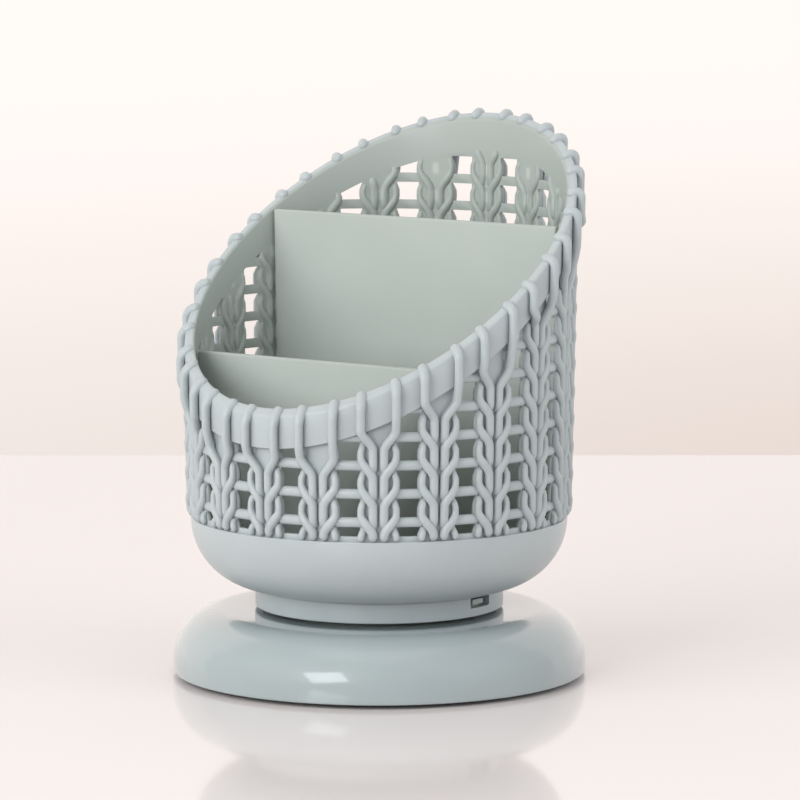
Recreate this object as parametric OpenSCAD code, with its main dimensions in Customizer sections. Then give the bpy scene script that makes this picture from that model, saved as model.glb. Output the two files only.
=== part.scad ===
// Rotating desk organizer: a knit-pattern basket on a swivel base.
// Origin at the centre of the base on the desk, +Z up, low side of the rim towards -Y.

/* [Base] */
// Largest radius of the domed base
base_r = 52; // [48:0.5:60]
// Height of the dome's flat top above the desk
base_top = 16.7; // [15.5:0.1:17]
// Radius of the dome's round shoulder
shoulder_r = 12.5; // [10:0.5:13]
// Height of the dome's lower edge above the desk
base_lift = 1; // [0.6:0.1:1.4]
// Radius of the dome's lower edge
edge_r = 0.5; // [0.3:0.1:1.5]
// Thickness of the dome's wall
base_wall = 2.2; // [1.6:0.1:3]
// Number of rubber feet
foot_count = 4; // [3:1:6]
// Radius of one rubber foot
foot_r = 4.5; // [3:0.5:6]

/* [Bearing] */
// Number of bearing balls
ball_count = 12; // [6:1:16]
// Radius of one ball
ball_r = 2; // [1.5:0.1:2.2]
// Radius of the circle that the balls run on
ball_track_r = 19.5; // [18:0.5:20]
// Free space between a ball and its grooves
ball_play = 0.15; // [0.1:0.05:0.3]
// Radius of the pivot post
post_r = 5; // [4:0.5:7]
// Radial play between the pivot post and the swivel plate
post_play = 0.06; // [0.02:0.01:0.1]

/* [Basket] */
// Outer radius of the neck ring
neck_r = 31.2; // [30:0.2:34]
// Height of the neck ring's lower edge
neck_bottom = 17.4; // [17.2:0.1:18]
// Outer radius of the bowl at its top
bowl_r = 47.3; // [46:0.1:50]
// Height of the knit pattern's lower edge, where bowl and wall meet
knit_bottom = 40.2; // [38:0.2:44]
// Thickness of the bowl
bowl_wall = 2; // [1.6:0.1:2.6]
// Thickness of the window bars
bar_wall = 1.7; // [1.2:0.1:2]
// Outward lean of the wall, in degrees
draft = 1.06; // [0:0.02:2]

/* [Rim] */
// Height of the slanted rim at the middle of the basket
rim_mid = 104.2; // [95:0.2:115]
// Slant of the rim, in degrees
rim_angle = 34.9; // [20:0.1:40]
// Height of the smooth band under the rim, measured straight down
band_h = 9.2; // [6:0.2:12]
// How far the band stands out from the window bars
band_proud = 0.9; // [0.4:0.1:1.2]

/* [Knit] */
// Number of knit columns around the basket
columns = 20; // [16:2:24]
// Height of one row of stitches
row_pitch = 6.94; // [6:0.02:8]
// Height of one window
window_h = 4.4; // [3:0.1:5]
// Width of one window
window_w = 4.2; // [3:0.1:4.4]
// Width of the lane between two knit columns
lane_w = 4.6; // [4.5:0.1:5.5]
// Height of the solid bar at the wall's lower edge
foot_bar = 1.3; // [1:0.1:2]
// How far the knit columns stand out from the window bars
column_proud = 1.2; // [0.6:0.1:1.4]
// Width of a strand that wraps over the rim
wrap_w = 2.4; // [1.8:0.1:3]
// How far a wrap stands out from the band, outwards and upwards
wrap_proud = 2.2; // [1:0.1:2.6]
// How far a wrap stands up over the band's top edge
wrap_rise = 1; // [0.5:0.1:1.4]

/* [Dividers] */
// Thickness of a divider
divider_t = 2; // [1.2:0.1:3]
// Distance of the front divider in front of the centre
front_divider_y = 23; // [15:0.5:28]
// Height of the front divider's top edge
front_divider_top = 81.1; // [60:0.5:84]
// Distance of the rear divider behind the centre
rear_divider_y = 14.8; // [8:0.2:20]
// Height of the rear divider's top edge
rear_divider_top = 113.9; // [90:0.5:114]
// Gap between a divider and the wall around it
divider_gap = 0.15; // [0.1:0.05:0.3]

/* [Hidden] */
$fn = 64;
eps = 0.01;
far = 400;

plastic = [0.70, 0.76, 0.74];
steel = [0.72, 0.73, 0.75];

// Base: levels and radii
shoulder_x = base_r - shoulder_r;
shoulder_z = base_top - shoulder_r;
well_r = 26.5;
well_wall = 1.8;
well_floor_top = 10;
well_floor_t = 2;
cover_r = 46;
cover_bottom = 1.6;
cover_t = 1.8;
cover_top = cover_bottom + cover_t;
cover_play = 0.2;
recess_r = 12;
recess_h = 0.6;
foot_sink = 0.8;
foot_play = 0.1;
foot_ring_r = 39;
foot_turn = 45;
screw_ring_r = 33;
cover_screw_count = 3;
cover_screw_turn = 30;
cover_screw_r = 1.45;
cover_screw_len = 7;
cover_screw_play = 0.2;
boss_r = 3.4;
boss_play = 0.05;
embed = 0.5;
head_r = 2.8;
head_h = 1.1;
slot_w = 0.8;
slot_depth = 0.6;

// Bearing: levels
ball_z = 12.9;
groove_r = ball_r + ball_play;
race_in = 15;
race_out = 24;
lower_race_top = 11.9;
upper_race_bottom = 13.9;
upper_race_top = 15.8;
cage_in = 16.4;
cage_out = 22.6;
cage_h = 1.2;
cage_play = 0.1;

// Swivel plate, washer and screw
plate_bottom = 17.9;
plate_t = 1.8;
plate_top = plate_bottom + plate_t;
plate_r = 28.7;
hub_r = 9;
plate_play = 0.2;
post_top = plate_top + plate_play;
washer_r = 8.5;
washer_t = 0.8;
washer_play = 0.2;
pivot_screw_r = 1.5;
pivot_screw_len = 9;
pivot_tip_gap = 0.2;
pivot_head_r = 3.2;
pivot_head_h = 1.3;
cross_w = 4;
cross_depth = 0.7;
hook_w = 4.4;
hook_t = 1.6;
hook_reach = 1.6;
hook_bottom = 20.3;
hook_top = 21.5;
support_count = 6;
support_turn = 15;
support_in = 12;
support_len = 12;
support_w = 1.6;

// Bowl: the arc of its side, its floor and the neck
bowl_arc_r = 18.1;
bowl_arc_x = bowl_r - bowl_arc_r;
bowl_arc_z = knit_bottom + 0.4;
floor_bottom = bowl_arc_z - bowl_arc_r;
floor_top = floor_bottom + bowl_wall;
neck_wall = 2;
neck_window_w = 8;
neck_window_bottom = 19.6;
neck_window_h = 2.6;
rail_t = 1.2;
rail_h = 3;
rail_play = 0.1;
front_rail_len = 28;
rear_rail_len = 46;

// Wall: radii at its lower edge, from which it leans outwards
wall_in = bowl_r - bowl_wall;
wall_out = wall_in + bar_wall;
wall_top = 150;
lean = tan(draft);
step_angle = 360 / columns;
row_count = floor((wall_top - knit_bottom) / row_pitch);
first_window_h = 2.2;
first_bar = knit_bottom + foot_bar + first_window_h;
window_reach = 0.8;
slit = 0.02;
seam_w = 0.6;
seam_depth = 0.7;
wrap_turn = 4.5;
wrap_inset = 0.4;

function lean_at(z) = (z - knit_bottom) * lean;
function rim_z(y) = rim_mid + y * tan(rim_angle);

// Half-space below the rim plane, lowered by drop
module below_rim(drop = 0) {
    translate([0, 0, rim_mid - drop])
        rotate([rim_angle, 0, 0])
            translate([-far / 2, -far / 2, -far])
                cube(far);
}

// Ring with a square section
module ring(r_in, r_out, z, h) {
    translate([0, 0, z])
        difference() {
            cylinder(r = r_out, h = h);
            translate([0, 0, -1]) cylinder(r = r_in, h = h + 2);
        }
}

// Section of the dome's outside: round shoulder above, upright foot with a small round edge below
module dome_outline() {
    intersection() {
        translate([shoulder_x, shoulder_z]) circle(r = shoulder_r, $fn = 128);
        translate([shoulder_x, shoulder_z]) square(shoulder_r);
    }
    translate([0, shoulder_z]) square([shoulder_x, shoulder_r]);
    translate([0, base_lift]) square([base_r - edge_r, shoulder_z - base_lift]);
    translate([base_r - edge_r, base_lift + edge_r])
        square([edge_r, shoulder_z - base_lift - edge_r]);
    intersection() {
        translate([base_r - edge_r, base_lift + edge_r]) circle(r = edge_r);
        translate([base_r - edge_r, base_lift]) square(edge_r);
    }
}

// Section of the hollow under the dome, around the bearing well
module dome_hollow() {
    intersection() {
        translate([shoulder_x, shoulder_z]) circle(r = shoulder_r - base_wall, $fn = 128);
        translate([shoulder_x, shoulder_z]) square(shoulder_r);
    }
    translate([well_r + well_wall, 0]) square([shoulder_x - well_r - well_wall, base_top - base_wall]);
    translate([shoulder_x, 0]) square([cover_r + cover_play - shoulder_x, shoulder_z]);
    square([well_r + well_wall, well_floor_top - well_floor_t]);
}

// Section of the bearing well around the pivot post
module well_space() {
    translate([post_r, well_floor_top]) square([well_r - post_r, base_top]);
}

module base_dome() {
    color(plastic)
    difference() {
        union() {
            rotate_extrude() difference() {
                union() {
                    dome_outline();
                    square([post_r, post_top]);
                }
                dome_hollow();
                well_space();
            }
            for (i = [1 : cover_screw_count])
                rotate(cover_screw_turn + i * 360 / cover_screw_count)
                    translate([screw_ring_r, 0, cover_top])
                        cylinder(r = boss_r, h = base_top - base_wall - cover_top + embed);
        }
        translate([0, 0, post_top - pivot_screw_len])
            cylinder(r = pivot_screw_r + boss_play, h = pivot_screw_len + 1);
        for (i = [1 : cover_screw_count])
            rotate(cover_screw_turn + i * 360 / cover_screw_count)
                translate([screw_ring_r, 0, 0])
                    cylinder(r = cover_screw_r + boss_play, h = cover_top + cover_screw_len);
    }
}

module base_cover() {
    color([0.60, 0.65, 0.63])
    difference() {
        translate([0, 0, cover_bottom]) cylinder(r = cover_r, h = cover_t);
        for (i = [1 : foot_count])
            rotate(foot_turn + i * 360 / foot_count)
                translate([foot_ring_r, 0, 0])
                    cylinder(r = foot_r + foot_play, h = cover_bottom + foot_sink);
        for (i = [1 : cover_screw_count])
            rotate(cover_screw_turn + i * 360 / cover_screw_count)
                translate([screw_ring_r, 0, 0]) {
                    cylinder(r = cover_screw_r + cover_screw_play, h = base_top);
                    cylinder(r = head_r + cover_screw_play, h = cover_bottom + head_h);
                }
        cylinder(r = recess_r, h = cover_bottom + recess_h);
    }
}

module cover_screws() {
    color(steel)
    for (i = [1 : cover_screw_count])
        rotate(cover_screw_turn + i * 360 / cover_screw_count)
            translate([screw_ring_r, 0, cover_bottom]) {
                difference() {
                    cylinder(r = head_r, h = head_h);
                    translate([-head_r, -slot_w / 2, -1]) cube([2 * head_r, slot_w, 1 + slot_depth]);
                }
                translate([0, 0, head_h - eps]) cylinder(r = cover_screw_r, h = cover_screw_len);
            }
}

module foot(i) {
    color([0.25, 0.26, 0.26])
    rotate(foot_turn + i * 360 / foot_count)
        translate([foot_ring_r, 0, 0])
            cylinder(r = foot_r, h = cover_bottom + foot_sink);
}

// Ball groove, cut into both races
module groove() {
    translate([0, 0, ball_z])
        rotate_extrude() translate([ball_track_r, 0]) circle(r = groove_r);
}

module lower_race() {
    color(steel)
    difference() {
        ring(race_in, race_out, well_floor_top, lower_race_top - well_floor_top);
        groove();
    }
}

module upper_race() {
    color(steel)
    difference() {
        ring(race_in, race_out, upper_race_bottom, upper_race_top - upper_race_bottom);
        groove();
    }
}

module ball_cage() {
    color([0.86, 0.86, 0.82])
    difference() {
        ring(cage_in, cage_out, ball_z - cage_h / 2, cage_h);
        for (i = [1 : ball_count])
            rotate(i * 360 / ball_count)
                translate([ball_track_r, 0, 0])
                    cylinder(r = ball_r + cage_play, h = base_top);
    }
}

module ball(i) {
    color(steel)
    rotate(i * 360 / ball_count)
        translate([ball_track_r, 0, ball_z])
            sphere(r = ball_r);
}

module pivot_washer() {
    color(steel)
    ring(pivot_screw_r + washer_play, washer_r, post_top, washer_t);
}

module pivot_screw() {
    color(steel)
    translate([0, 0, post_top + washer_t]) {
        translate([0, 0, pivot_tip_gap - pivot_screw_len])
            cylinder(r = pivot_screw_r, h = pivot_screw_len);
        difference() {
            cylinder(r = pivot_head_r, h = pivot_head_h);
            for (a = [0, 90])
                rotate(a)
                    translate([-cross_w / 2, -slot_w / 2, pivot_head_h - cross_depth])
                        cube([cross_w, slot_w, pivot_head_h]);
        }
    }
}

// Tongue that springs up inside the neck and hooks into its window
module snap_hook() {
    translate([plate_r - hook_t, -hook_w / 2, plate_top - eps])
        cube([hook_t, hook_w, hook_top - plate_top + eps]);
    translate([plate_r - eps, -hook_w / 2, hook_bottom])
        cube([hook_reach + eps, hook_w, hook_top - hook_bottom]);
}

module swivel_plate() {
    color([0.66, 0.72, 0.70])
    difference() {
        union() {
            translate([0, 0, plate_bottom]) cylinder(r = plate_r, h = plate_t);
            ring(race_in, race_out, upper_race_top, plate_bottom - upper_race_top + eps);
            translate([0, 0, upper_race_top]) cylinder(r = hub_r, h = plate_top - upper_race_top);
            for (i = [1 : support_count])
                rotate(support_turn + i * 360 / support_count)
                    translate([support_in, -support_w / 2, plate_top - eps])
                        cube([support_len, support_w, floor_bottom - plate_top + eps]);
            for (a = [0, 180])
                rotate(a) snap_hook();
        }
        cylinder(r = post_r + post_play, h = 40);
    }
}

// Section of the bowl's outside, moved inwards by inset
module bowl_section(inset) {
    intersection() {
        union() {
            translate([bowl_arc_x, bowl_arc_z]) circle(r = bowl_arc_r - inset, $fn = 128);
            translate([0, floor_bottom + inset]) square([bowl_arc_x, knit_bottom]);
        }
        square([far, knit_bottom]);
    }
}

// Pair of rails that hold a divider's foot on the floor
module rails(y, length) {
    for (side = [-1, 1])
        translate([-length / 2, y + side * (divider_t / 2 + rail_play + rail_t / 2) - rail_t / 2,
                   floor_top - eps])
            cube([length, rail_t, rail_h + eps]);
}

module basket_bowl() {
    color(plastic)
    difference() {
        union() {
            difference() {
                rotate_extrude() bowl_section(0);
                rotate_extrude() {
                    bowl_section(bowl_wall);
                    translate([0, knit_bottom - eps]) square([wall_in, embed]);
                }
            }
            ring(neck_r - neck_wall, neck_r, neck_bottom, floor_bottom - neck_bottom + embed);
            rails(-front_divider_y, front_rail_len);
            rails(rear_divider_y, rear_rail_len);
        }
        for (a = [0, 180])
            rotate(a)
                translate([neck_r - 2 * neck_wall, -neck_window_w / 2, neck_window_bottom])
                    cube([3 * neck_wall, neck_window_w, neck_window_h]);
    }
}

// Leaning tube from the bowl's top edge up past the rim
module wall_tube(r_in, r_out) {
    rotate_extrude(angle = 360, $fn = 160)
        polygon([[r_in, knit_bottom], [r_out, knit_bottom],
                 [r_out + lean_at(wall_top), wall_top], [r_in + lean_at(wall_top), wall_top]]);
}

// One window at height z, cut through the wall's front side
module window(z, h) {
    translate([-window_w / 2, -far / 2, z]) cube([window_w, far / 2, h]);
}

// All the windows of one lane, from the knit's lower edge up to the band
module lane_windows(turn) {
    last_z = rim_z(-wall_out * cos(turn)) - band_h + window_reach;
    rotate(turn) {
        window(knit_bottom + foot_bar, first_window_h);
        for (k = [1 : row_count])
            let (z = first_bar + k * row_pitch - window_h)
                if (z < last_z) window(z, z + row_pitch < last_z ? window_h : 2 * row_pitch);
    }
}

// Upright slot of width w in the wall's outside, reaching in to radius r at the knit's lower edge
module slot(turn, w, r) {
    rotate(turn)
        translate([0, -r, knit_bottom])
            rotate([draft, 0, 0])
                translate([-w / 2, -far, -far / 2]) cube([w, far, far]);
}

// Wedge around the middle axis that holds one knit column and half a lane on either side
module column_wedge(turn) {
    half = step_angle / 2;
    rotate(turn)
        translate([0, -slit / 2 / sin(half), 0])
            linear_extrude(height = wall_top)
                polygon([[0, 0], [-base_r * tan(half), -base_r], [base_r * tan(half), -base_r]]);
}

// The wall, one solid for each knit column, so that its collision stays round
module basket_wall() {
    color(plastic)
    for (i = [0 : columns - 1])
        difference() {
            intersection() {
                wall_tube(wall_in, wall_out + column_proud);
                below_rim(band_h);
                column_wedge(i * step_angle);
            }
            for (side = [-0.5, 0.5]) {
                lane_windows((i + side) * step_angle);
                slot((i + side) * step_angle, lane_w, wall_out);
            }
            slot(i * step_angle, seam_w, wall_out + column_proud - seam_depth);
        }
}

// Upright slab across the wall, from which one wrap is cut
module wrap_slab(turn) {
    rotate(turn) translate([-wrap_w / 2, -far / 2, 0]) cube([wrap_w, far / 2, wall_top]);
}

// The band with its wraps, one solid for each knit column, so that its collision stays round
module rim_band() {
    color(plastic)
    for (i = [0 : columns - 1])
        difference() {
            union() {
                intersection() {
                    wall_tube(wall_in, wall_out + band_proud);
                    below_rim();
                    column_wedge(i * step_angle);
                }
                intersection() {
                    wall_tube(wall_in + wrap_inset, wall_out + band_proud + wrap_proud);
                    below_rim(-wrap_rise);
                    union()
                        for (side = [-1, 1])
                            wrap_slab(i * step_angle + side * wrap_turn);
                }
            }
            below_rim(band_h);
        }
}

// Free space inside the bowl and the wall, less the gap around a divider
module inside(top) {
    rotate_extrude() {
        intersection() {
            union() {
                translate([bowl_arc_x, bowl_arc_z])
                    circle(r = bowl_arc_r - bowl_wall - divider_gap, $fn = 128);
                translate([0, floor_top]) square([bowl_arc_x, knit_bottom]);
            }
            square([far, knit_bottom]);
        }
        polygon([[0, knit_bottom - eps], [wall_in - divider_gap, knit_bottom - eps],
                 [wall_in - divider_gap + lean_at(top), top], [0, top]]);
    }
}

module divider(y, top) {
    intersection() {
        inside(top);
        translate([-far / 2, y - divider_t / 2, 0]) cube([far, divider_t, far]);
    }
}

module front_divider() {
    color(plastic) divider(-front_divider_y, front_divider_top);
}

module rear_divider() {
    color(plastic) divider(rear_divider_y, rear_divider_top);
}

base_dome();
base_cover();
cover_screws();
lower_race();
pivot_washer();
pivot_screw();
for (i = [1 : foot_count])
    foot(i);
ball_cage();
for (i = [1 : ball_count])
    ball(i);
upper_race();
swivel_plate();
basket_bowl();
basket_wall();
rim_band();
front_divider();
rear_divider();
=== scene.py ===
"""Looks of a rotating desk organizer: a knit-pattern basket on a swivel base.

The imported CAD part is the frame. The windowed wall, its bars, the knit strands outside, the backs of
the stitches inside and the wraps over the rim grow in Geometry Nodes. The smooth round pieces are
revolved outlines with rounded corners.
"""

import math

import bmesh
import bpy
from mathutils import Matrix, Quaternion, Vector


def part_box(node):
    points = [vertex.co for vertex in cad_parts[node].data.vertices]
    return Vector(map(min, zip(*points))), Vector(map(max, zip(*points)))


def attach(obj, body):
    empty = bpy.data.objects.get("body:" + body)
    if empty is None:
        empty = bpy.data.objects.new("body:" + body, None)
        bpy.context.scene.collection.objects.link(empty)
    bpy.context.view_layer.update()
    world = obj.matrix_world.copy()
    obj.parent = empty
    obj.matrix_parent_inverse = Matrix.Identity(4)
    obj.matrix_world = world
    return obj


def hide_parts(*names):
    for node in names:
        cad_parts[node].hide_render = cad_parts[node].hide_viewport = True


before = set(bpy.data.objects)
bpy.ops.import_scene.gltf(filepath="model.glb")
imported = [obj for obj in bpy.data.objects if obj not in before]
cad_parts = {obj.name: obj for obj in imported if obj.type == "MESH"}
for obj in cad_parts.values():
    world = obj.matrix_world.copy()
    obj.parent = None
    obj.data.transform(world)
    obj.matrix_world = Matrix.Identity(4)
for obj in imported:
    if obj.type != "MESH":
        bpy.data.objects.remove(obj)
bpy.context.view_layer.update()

MM = 0.001
FULL_TURN = 2 * math.pi

# ---------------------------------------------------------------- sizes, in metres
dome_low, dome_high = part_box("base_dome")
front_low, front_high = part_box("front_divider")
rear_low, rear_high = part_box("rear_divider")
bowl_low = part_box("basket_bowl")[0]
wall_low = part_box("basket_wall")[0]
cover_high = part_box("base_cover")[1]

# Base
BASE_RADIUS = dome_high.x
BASE_BOTTOM = dome_low.z
BASE_TOP = 16.7 * MM
SHOULDER_RADIUS = 12.5 * MM
EDGE_RADIUS = 0.5 * MM
BASE_WALL = 2.2 * MM
WELL_RADIUS = 26.5 * MM
WELL_WALL = 1.8 * MM
WELL_FLOOR = 10 * MM
WELL_UNDER = 8 * MM
POST_RADIUS = 5 * MM
POST_TOP = dome_high.z
POST_BORE = 1.55 * MM
POST_BORE_END = 10.9 * MM
COVER_SEAT = cover_high.x + 0.2 * MM

# Bowl and neck
BOWL_RADIUS = 47.3 * MM
BOWL_WALL = 2 * MM
BOWL_FLOOR_UNDER = 22.5 * MM
BOWL_FLOOR = BOWL_FLOOR_UNDER + BOWL_WALL
NECK_BOTTOM = bowl_low.z
NECK_RADIUS = 31.2 * MM
NECK_WALL = 2 * MM
NECK_WINDOW = Vector((8 * MM, 2.6 * MM))
NECK_WINDOW_BOTTOM = 19.6 * MM

# Knit wall, given at its lower edge, from which it leans outwards
KNIT_BOTTOM = wall_low.z
LEAN = math.tan(math.radians(1.06))
BOWL_CURVE = KNIT_BOTTOM - BOWL_FLOOR - 0.3 * MM
COLUMNS = 20
ROWS = 13
ROW_PITCH = 6.94 * MM
WALL_INSIDE = BOWL_RADIUS - BOWL_WALL
SHEET_INSIDE = WALL_INSIDE + 0.02 * MM
SHEET_THICKNESS = 1.1 * MM
FACE_RADIUS = 46.6 * MM
COLUMN_PITCH = FULL_TURN * FACE_RADIUS / COLUMNS
BAR_HEIGHT = 2.36 * MM
BAR_OUTSIDE = 47.05 * MM
FIRST_BAR = 43.79 * MM
LANE_WIDTH = 5.7 * MM
FOOT_BAR_TOP = KNIT_BOTTOM + 1.3 * MM
SHEET_BELOW = 0.6 * MM
STITCH_DROP = 0.6 * MM
FIRST_STITCH = FIRST_BAR + BAR_HEIGHT / 2 - STITCH_DROP
STRAND_FOOT = 0.25 * MM
STRAND_UNDER_BAND = 0.4 * MM
SHEET_UNDER_BAND = 2.2 * MM
HIDDEN_ABOVE = 1.2 * MM
CREST_RISE = 0.3 * MM
CREST_REACH = 3.0 * MM
TUCK_DEPTH = 1.2 * MM
TUCK_RUN = 2.4 * MM

# Depth in the wall over which the inside's painted shade turns into the outside's tone
INSIDE_UP_TO = 0.4 * MM
OUTSIDE_FROM = 0.9 * MM

# Rim
RIM_HEIGHT = 104.2 * MM
RIM_SLOPE = math.tan(math.radians(34.9))
BAND_HEIGHT = 8.6 * MM
BAND_OUTSIDE = 47.9 * MM
BAND_EDGE = 0.8 * MM

# Dividers
DIVIDER_GAP = 0.15 * MM


# ---------------------------------------------------------------- nodes written as expressions
class Wire:
    """An output socket. Python's operators on it add Math nodes to its tree."""

    def __init__(self, graph, socket):
        self.graph = graph
        self.socket = socket

    def __add__(self, other):
        return self.graph.math("ADD", self, other)

    def __sub__(self, other):
        return self.graph.math("SUBTRACT", self, other)

    def __mul__(self, other):
        return self.graph.math("MULTIPLY", self, other)

    def __truediv__(self, other):
        return self.graph.math("DIVIDE", self, other)

    def __pow__(self, other):
        return self.graph.math("POWER", self, other)

    def __mod__(self, other):
        return self.graph.math("FLOORED_MODULO", self, other)

    def __neg__(self):
        return self.graph.math("MULTIPLY", self, -1.0)

    def __radd__(self, other):
        return self.graph.math("ADD", other, self)

    def __rsub__(self, other):
        return self.graph.math("SUBTRACT", other, self)

    def __rmul__(self, other):
        return self.graph.math("MULTIPLY", other, self)

    def __rtruediv__(self, other):
        return self.graph.math("DIVIDE", other, self)

    def __gt__(self, other):
        return self.graph.math("GREATER_THAN", self, other)


class Graph:
    """A node tree that grows by Python calls."""

    def __init__(self, tree):
        self.tree = tree

    def add(self, kind, settings=None, values=None, out=0):
        """Any node: its settings first, then the value or link of each named input."""
        node = self.tree.nodes.new(kind)
        for key, value in (settings or {}).items():
            setattr(node, key, value)
        for key, value in (values or {}).items():
            self.feed(node.inputs[key], value)
        return Wire(self, node.outputs[out])

    def feed(self, socket, value):
        if isinstance(value, Wire):
            self.tree.links.new(value.socket, socket)
        else:
            socket.default_value = value

    def math(self, operation, first, second=0.0):
        return self.add("ShaderNodeMath", {"operation": operation}, {0: first, 1: second})

    def sine(self, angle):
        return self.math("SINE", angle)

    def cosine(self, angle):
        return self.math("COSINE", angle)

    def floor(self, value):
        return self.math("FLOOR", value)

    def absolute(self, value):
        return self.math("ABSOLUTE", value)

    def root(self, value):
        return self.math("SQRT", value)

    def least(self, first, second):
        return self.math("MINIMUM", first, second)

    def most(self, first, second):
        return self.math("MAXIMUM", first, second)

    def ease(self, value, low, high, start=0.0, end=1.0):
        """Smooth step from start to end while value goes from low to high."""
        return self.add(
            "ShaderNodeMapRange",
            {"interpolation_type": "SMOOTHSTEP"},
            {0: value, 1: low, 2: high, 3: start, 4: end},
        )

    def blend(self, factor, first, second):
        """Colour between first and second."""
        return self.add("ShaderNodeMix", {"data_type": "RGBA"}, {0: factor, 6: first, 7: second}, 2)

    def split(self, vector):
        node = self.tree.nodes.new("ShaderNodeSeparateXYZ")
        self.feed(node.inputs[0], vector)
        return [Wire(self, output) for output in node.outputs]

    def join(self, x, y, z):
        return self.add("ShaderNodeCombineXYZ", {}, {0: x, 1: y, 2: z})


# ---------------------------------------------------------------- materials
CLOUD_SCALE = 38.0
SPECK_SCALE = 2600.0
WAVE_SCALE = 160.0
GRAIN_SCALE = 900.0
TARNISH_SCALE = 220.0
SKIN_DEPTH = 0.012 * MM


def colour(red, green, blue):
    """Linear colour from a display colour given as 0 to 1 values."""
    linear = [c / 12.92 if c <= 0.04045 else ((c + 0.055) / 1.055) ** 2.4 for c in (red, green, blue)]
    return (*linear, 1.0)


def noise(graph, place, scale, detail=2.0, roughness=0.5):
    return graph.add(
        "ShaderNodeTexNoise",
        {},
        {"Vector": place, "Scale": scale, "Detail": detail, "Roughness": roughness},
    )


def material(name, constants, paint):
    """A Principled material. constants stay on the shader's sockets, paint links what varies."""
    made = bpy.data.materials.new(name)
    made.use_nodes = True
    graph = Graph(made.node_tree)
    shader = made.node_tree.nodes["Principled BSDF"]
    for key, value in constants.items():
        shader.inputs[key].default_value = value
    place = graph.add("ShaderNodeTexCoord", out="Object")
    for key, wire in paint(graph, place).items():
        graph.feed(shader.inputs[key], wire)
    return made


def bump(graph, height, distance, strength=1.0):
    return graph.add("ShaderNodeBump", {}, {"Strength": strength, "Distance": distance, "Height": height})


def wall_depth(graph, place):
    """How far a point of the leaning wall lies outside the wall's inner face."""
    x, y, z = graph.split(place)
    return graph.root(x * x + y * y) - (z - KNIT_BOTTOM) * LEAN - WALL_INSIDE


def bowl_depth(graph, place):
    """How far a point of the bowl lies outside the bowl's inner face."""
    x, y, z = graph.split(place)
    beyond = graph.most(graph.root(x * x + y * y) - (WALL_INSIDE - BOWL_CURVE), 0.0)
    below = graph.least(z - KNIT_BOTTOM, 0.0)
    return graph.root(beyond * beyond + below * below) - BOWL_CURVE


def moulded(tone, shade, roughness, grain, grain_depth, depth=None):
    """Paint of moulded plastic: a faint cloudiness, fine specks and a fine skin grain.

    depth tells the surfaces that face the basket's hollow, which get a painted shade, darker and a little
    greener.
    """

    def paint(graph, place):
        clouds = noise(graph, place, CLOUD_SCALE, 3.0)
        specks = noise(graph, place, SPECK_SCALE, 1.0)
        amount = graph.ease(clouds * 0.75 + specks * 0.25, 0.35, 0.65)
        skin = noise(graph, place, grain, 3.0, 0.6)
        waves = noise(graph, place, WAVE_SCALE, 1.0)
        tint = graph.blend(amount, tone, shade)
        if depth:
            # Surfaces that face the hollow get a painted shade, darker and a little greener
            outward = graph.ease(depth(graph, place), INSIDE_UP_TO, OUTSIDE_FROM)
            tint = graph.blend(outward, SAGE_PAINTED_SHADE_INSIDE, tint)
        return {
            "Base Color": tint,
            "Roughness": roughness + (clouds - 0.5) * 0.10 + (skin - 0.5) * 0.06,
            "Normal": bump(graph, skin * 0.6 + waves * 0.4, grain_depth),
        }

    return paint


SAGE = colour(0.675, 0.712, 0.722)
SAGE_SHADE = colour(0.658, 0.695, 0.706)
# Painted shade for the surfaces that face the basket's hollow
SAGE_PAINTED_SHADE_INSIDE = colour(0.622, 0.658, 0.642)
# Painted light on the thin web of each knit column, as if light showed through it
PAINTED_WEB_LIGHT = colour(0.790, 0.835, 0.808)

sage = material(
    "sage_plastic",
    {"IOR": 1.5, "Coat Roughness": 0.12, "Coat Weight": 0.25},
    moulded(SAGE, SAGE_SHADE, 0.34, GRAIN_SCALE, SKIN_DEPTH),
)
# Band: painted shade on its inner face
sage_band = material(
    "sage_band_plastic",
    {"IOR": 1.5, "Coat Roughness": 0.15, "Coat Weight": 0.15},
    moulded(SAGE, SAGE_SHADE, 0.36, GRAIN_SCALE, SKIN_DEPTH, wall_depth),
)
# Bowl: painted shade on its inner face
sage_bowl = material(
    "sage_bowl_plastic",
    {"IOR": 1.5, "Coat Roughness": 0.12, "Coat Weight": 0.25},
    moulded(SAGE, SAGE_SHADE, 0.34, GRAIN_SCALE, SKIN_DEPTH, bowl_depth),
)
# Dividers and floor rails: darker and greener than the outside sage, a painted shade of the basket's
# inside
sage_satin_painted_shade = material(
    "sage_satin_plastic",
    {"IOR": 1.5},
    moulded(colour(0.645, 0.682, 0.665), colour(0.630, 0.667, 0.650), 0.44, 800.0, 0.014 * MM),
)
sage_gloss = material(
    "sage_gloss_plastic",
    {"IOR": 1.5, "Coat Roughness": 0.03, "Coat Weight": 1.0},
    moulded(colour(0.604, 0.652, 0.660), colour(0.592, 0.640, 0.649), 0.22, 500.0, 0.004 * MM),
)
inner_plastic = material(
    "satin_inner_plastic",
    {"IOR": 1.5},
    moulded(colour(0.66, 0.71, 0.69), colour(0.62, 0.67, 0.65), 0.42, 700.0, 0.02 * MM),
)
cover_plastic = material(
    "textured_cover_plastic",
    {"IOR": 1.48},
    moulded(colour(0.24, 0.26, 0.26), colour(0.20, 0.22, 0.22), 0.62, 1500.0, 0.06 * MM),
)
cage_plastic = material(
    "cage_nylon",
    {"IOR": 1.53},
    moulded(colour(0.86, 0.86, 0.82), colour(0.82, 0.81, 0.76), 0.45, 800.0, 0.02 * MM),
)
rubber = material(
    "foot_rubber",
    {"IOR": 1.45},
    moulded(colour(0.26, 0.27, 0.27), colour(0.21, 0.22, 0.22), 0.72, 1800.0, 0.05 * MM),
)


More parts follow.
